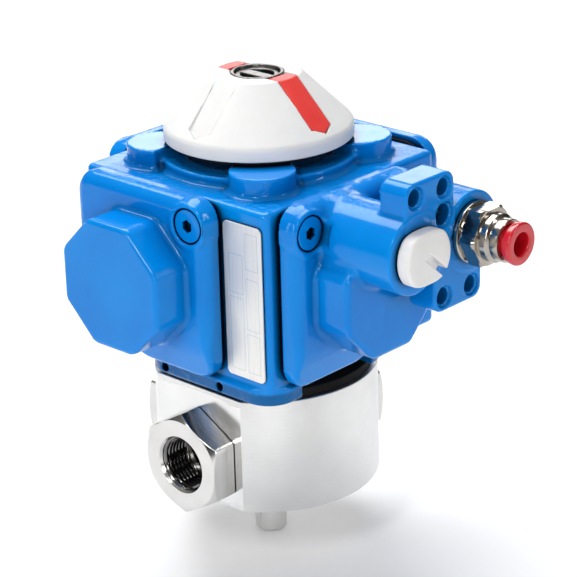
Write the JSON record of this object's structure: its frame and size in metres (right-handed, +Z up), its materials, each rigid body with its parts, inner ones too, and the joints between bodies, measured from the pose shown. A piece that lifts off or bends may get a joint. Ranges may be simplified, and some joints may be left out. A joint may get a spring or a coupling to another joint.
{
  "type": "pneumatic actuated valve",
  "caption": "Compact quarter-turn pneumatic actuator with octagonal spring towers and a conical position indicator, on a three-way ball valve.",
  "frame": {"origin": "centre of the ball, where the pipe axis crosses the stem axis", "axes": "+Z up along the stem, X along the straight pipe run, -Y towards the side that carries the air connection"},
  "size_m": [0.112, 0.1422, 0.1464],
  "materials": {
    "blue_paint": "gloss",
    "satin_stainless": "satin",
    "polished_stainless": "polished",
    "nickel_brass": "satin",
    "cast_alloy": "satin",
    "dark_alloy": "satin",
    "bright_plate": "satin",
    "spring_steel": "satin",
    "black_rubber": "matte",
    "white_plastic": "matte",
    "red_inlay": "matte",
    "red_collet": "satin",
    "dark_bearing": "matte",
    "white_seat": "matte"
  },
  "bodies": {
    "valve_and_actuator": {"actuator_housing": "blue_paint", "left_cover": "blue_paint", "left_cover_gasket": "black_rubber", "left_spring": "spring_steel", "left_cover_screw": "blue_paint", "left_cover_side_screw": "blue_paint", "right_cover": "blue_paint", "right_cover_gasket": "black_rubber", "right_spring": "spring_steel", "right_cover_screw": "blue_paint", "right_cover_side_screw": "blue_paint", "front_cover": "blue_paint", "front_cover_gasket": "black_rubber", "front_spring": "spring_steel", "front_cover_screw": "blue_paint", "front_cover_side_screw": "blue_paint", "rear_cover": "blue_paint", "rear_cover_gasket": "black_rubber", "rear_spring": "spring_steel", "rear_cover_screw": "blue_paint", "rear_cover_side_screw": "blue_paint", "port_plug": "white_plastic", "air_fitting": "nickel_brass", "nameplate": "bright_plate", "lower_bearing": "dark_bearing", "upper_bearing": "dark_bearing", "valve_body": "satin_stainless", "left_connector": "satin_stainless", "left_ball_seat": "white_seat", "right_connector": "satin_stainless", "right_ball_seat": "white_seat", "rear_connector": "satin_stainless", "rear_ball_seat": "white_seat", "stem_packing": "white_seat", "gland_ring": "satin_stainless", "base_gasket": "black_rubber", "bottom_pin": "satin_stainless", "left_front_mount_screw": "satin_stainless", "right_front_mount_screw": "satin_stainless", "left_rear_mount_screw": "satin_stainless", "right_rear_mount_screw": "satin_stainless"},
    "rotor": {"ball": "polished_stainless", "stem": "satin_stainless", "pinion_shaft": "dark_alloy", "indicator_cone": "white_plastic", "front_red_arrow": "red_inlay", "rear_red_arrow": "red_inlay", "indicator_ring": "satin_stainless", "indicator_gasket": "black_rubber"},
    "release_collet": {"release_collet": "red_collet"},
    "left_piston": {"left_piston": "cast_alloy", "left_piston_seal": "black_rubber"},
    "right_piston": {"right_piston": "cast_alloy", "right_piston_seal": "black_rubber"},
    "front_piston": {"front_piston": "cast_alloy", "front_piston_seal": "black_rubber"},
    "rear_piston": {"rear_piston": "cast_alloy", "rear_piston_seal": "black_rubber"}
  },
  "joints": [
    {"name": "valve_turn", "type": "hinge", "parent": "valve_and_actuator", "child": "rotor", "pos_m": [0, 0, 0], "axis": [0, 0, 1], "range_deg": [0, 90], "stiffness_Nm_per_rad": 0.3},
    {"name": "left_piston_slide", "type": "slide", "parent": "valve_and_actuator", "child": "left_piston", "axis": [-1, 0, 0], "range_m": [0, 0.0126], "deforming": ["left_spring"]},
    {"name": "right_piston_slide", "type": "slide", "parent": "valve_and_actuator", "child": "right_piston", "axis": [1, 0, 0], "range_m": [0, 0.0126], "deforming": ["right_spring"]},
    {"name": "front_piston_slide", "type": "slide", "parent": "valve_and_actuator", "child": "front_piston", "axis": [0, -1, 0], "range_m": [0, 0.0126], "deforming": ["front_spring"]},
    {"name": "rear_piston_slide", "type": "slide", "parent": "valve_and_actuator", "child": "rear_piston", "axis": [0, 1, 0], "range_m": [0, 0.0126], "deforming": ["rear_spring"]},
    {"name": "collet_press", "type": "slide", "parent": "valve_and_actuator", "child": "release_collet", "axis": [0, 1, 0], "range_m": [0, 0.0015], "stiffness_N_per_m": 300}
  ],
  "couplings": [
    {"joint": "left_piston_slide", "follows": "valve_turn", "m_per_rad": 0.008},
    {"joint": "right_piston_slide", "follows": "valve_turn", "m_per_rad": 0.008},
    {"joint": "front_piston_slide", "follows": "valve_turn", "m_per_rad": 0.008},
    {"joint": "rear_piston_slide", "follows": "valve_turn", "m_per_rad": 0.008}
  ]
}
